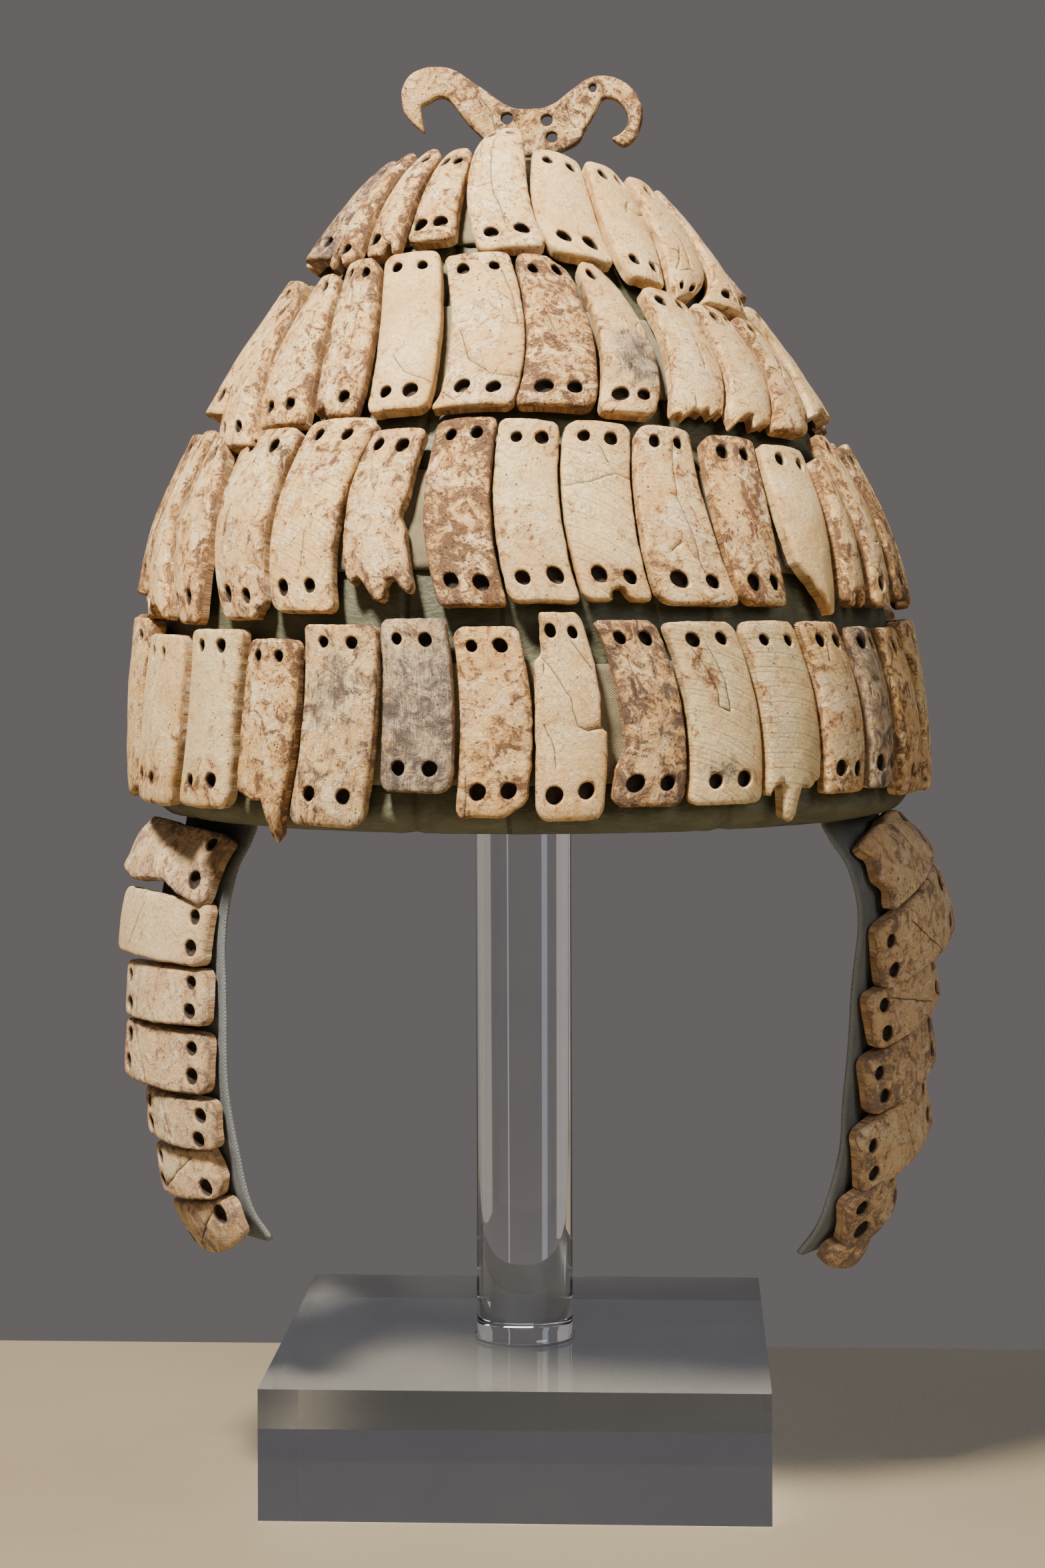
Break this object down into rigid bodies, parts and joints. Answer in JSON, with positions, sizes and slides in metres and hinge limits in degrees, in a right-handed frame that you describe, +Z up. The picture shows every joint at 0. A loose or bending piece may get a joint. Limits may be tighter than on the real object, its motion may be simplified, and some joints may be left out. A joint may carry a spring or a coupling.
{
  "type": "boar tusk helmet on acrylic stand",
  "caption": "Conical leather helmet clad in rows of drilled boar tusk plates, with a double-horned crest and plated cheek straps, held up by a clear block and rod.",
  "frame": {"origin": "on the floor, on the axis of the stand's rod and so under the helmet's crown", "axes": "+Z up, the helmet's front faces -Y, +X is to the right in the front view"},
  "size_m": [0.2537, 0.2488, 0.4342],
  "materials": {
    "tusk": "aged drilled tusk ivory, cream with brown staining",
    "cap_leather": "thick olive grey leather, satin",
    "backing": "beige backing band",
    "strap_felt": "grey green felt strap",
    "acrylic": "clear polished acrylic"
  },
  "bodies": {
    "root": {"stand_cradle": "acrylic", "leather_cap": "cap_leather", "row_1_backing_band": "backing", "row_1_plate_1": "tusk", "row_1_plate_2": "tusk", "row_1_plate_3": "tusk", "row_1_plate_4": "tusk", "row_1_plate_5": "tusk", "row_1_plate_6": "tusk", "row_2_backing_band": "backing", "row_2_plate_1": "tusk", "row_2_plate_2": "tusk", "row_2_plate_3": "tusk", "row_2_plate_4": "tusk", "row_2_plate_5": "tusk", "row_2_plate_6": "tusk", "row_2_plate_7": "tusk", "row_2_plate_8": "tusk", "row_3_backing_band": "backing", "row_3_plate_1": "tusk", "row_3_plate_2": "tusk", "row_3_plate_3": "tusk", "row_3_plate_4": "tusk", "row_3_plate_5": "tusk", "row_3_plate_6": "tusk", "row_3_plate_7": "tusk", "row_3_plate_8": "tusk", "row_3_plate_9": "tusk", "row_3_plate_10": "tusk", "row_4_backing_band": "backing", "row_4_plate_1": "tusk", "row_4_plate_2": "tusk", "row_4_plate_3": "tusk", "row_4_plate_4": "tusk", "row_4_plate_5": "tusk", "row_4_plate_6": "tusk", "row_4_plate_7": "tusk", "row_4_plate_8": "tusk", "row_4_plate_9": "tusk", "row_4_plate_10": "tusk", "cheek_strap_left": "strap_felt", "cheek_plate_left_1": "tusk", "cheek_plate_left_2": "tusk", "cheek_plate_left_3": "tusk", "cheek_plate_left_4": "tusk", "cheek_plate_left_5": "tusk", "cheek_plate_left_6": "tusk", "cheek_plate_left_7": "tusk", "cheek_strap_right": "strap_felt", "cheek_plate_right_1": "tusk", "cheek_plate_right_2": "tusk", "cheek_plate_right_3": "tusk", "cheek_plate_right_4": "tusk", "cheek_plate_right_5": "tusk", "cheek_plate_right_6": "tusk", "cheek_plate_right_7": "tusk", "stand_block": "acrylic", "stand_rod": "acrylic", "crest": "tusk"}
  },
  "joints": []
}
